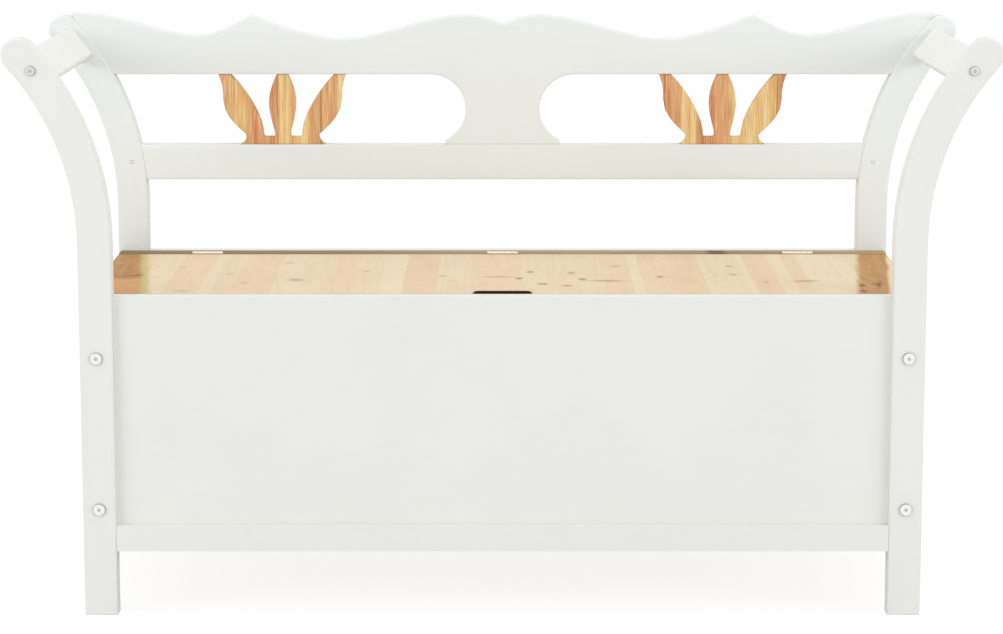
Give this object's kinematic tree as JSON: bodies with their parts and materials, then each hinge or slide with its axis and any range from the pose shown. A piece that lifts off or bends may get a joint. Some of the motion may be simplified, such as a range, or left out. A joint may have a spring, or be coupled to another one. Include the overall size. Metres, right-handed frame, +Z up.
{
  "type": "storage bench",
  "caption": "Painted hall bench with a chest under a hinged pine lid, a scalloped back with leaf cut-outs, and outward curved legs that carry slanted armrests.",
  "frame": {"origin": "on the floor, under the middle of the bench", "axes": "+X to the sitter's left as seen from the front, towards the right of the picture; +Y from the front to the back; +Z up"},
  "size_m": [1.2566, 0.425, 0.748],
  "materials": {
    "white_paint": "solid pine under satin white paint",
    "pine": "clear lacquered pine, edge-glued staves with small knots",
    "dark_pine": "darker pine heartwood, lacquered",
    "steel": "bright zinc plated"
  },
  "bodies": {
    "frame": {"front_leg_left": "white_paint", "front_leg_right": "white_paint", "rear_leg_left": "white_paint", "rear_leg_right": "white_paint", "armrest_left": "white_paint", "armrest_right": "white_paint", "side_panel_left": "white_paint", "side_panel_right": "white_paint", "front_panel": "white_paint", "back_panel": "white_paint", "front_bottom_rail": "white_paint", "rear_bottom_rail": "white_paint", "bottom_board": "pine", "floor_cleat_left": "pine", "floor_cleat_right": "pine", "hinge_rail": "dark_pine", "crest_rail": "white_paint", "crest_dowel_left": "pine", "crest_dowel_right": "pine", "lower_back_rail": "white_paint", "rail_lock_pin_left": "white_paint", "rail_lock_pin_right": "white_paint", "leaf_splat_left": "pine", "leaf_splat_right": "pine", "hinge_fixed_leaf_left": "steel", "hinge_fixed_leaf_middle": "steel", "hinge_fixed_leaf_right": "steel", "hinge_pin_left": "steel", "hinge_pin_middle": "steel", "hinge_pin_right": "steel", "bolt_front_left_upper": "steel", "bolt_front_left_lower": "steel", "bolt_front_left_armrest": "steel", "bolt_front_right_upper": "steel", "bolt_front_right_lower": "steel", "bolt_front_right_armrest": "steel", "bolt_rear_left_upper": "steel", "bolt_rear_left_lower": "steel", "bolt_rear_left_armrest": "steel", "bolt_rear_right_upper": "steel", "bolt_rear_right_lower": "steel", "bolt_rear_right_armrest": "steel", "barrel_nut_front_left_upper": "steel", "barrel_nut_front_left_lower": "steel", "barrel_nut_front_left_armrest": "steel", "barrel_nut_front_right_upper": "steel", "barrel_nut_front_right_lower": "steel", "barrel_nut_front_right_armrest": "steel", "barrel_nut_rear_left_upper": "steel", "barrel_nut_rear_left_lower": "steel", "barrel_nut_rear_left_armrest": "steel", "barrel_nut_rear_right_upper": "steel", "barrel_nut_rear_right_lower": "steel", "barrel_nut_rear_right_armrest": "steel"},
    "lid": {"lid_panel": "pine", "lid_batten_front": "pine", "lid_batten_rear": "pine", "hinge_lid_leaf_left": "steel", "hinge_lid_leaf_middle": "steel", "hinge_lid_leaf_right": "steel"}
  },
  "joints": [
    {"name": "lid_hinge", "type": "hinge", "parent": "frame", "child": "lid", "pos_m": [0, 0.15, 0.4172], "axis": [-1, 0, 0], "range_deg": [0, 95]}
  ]
}
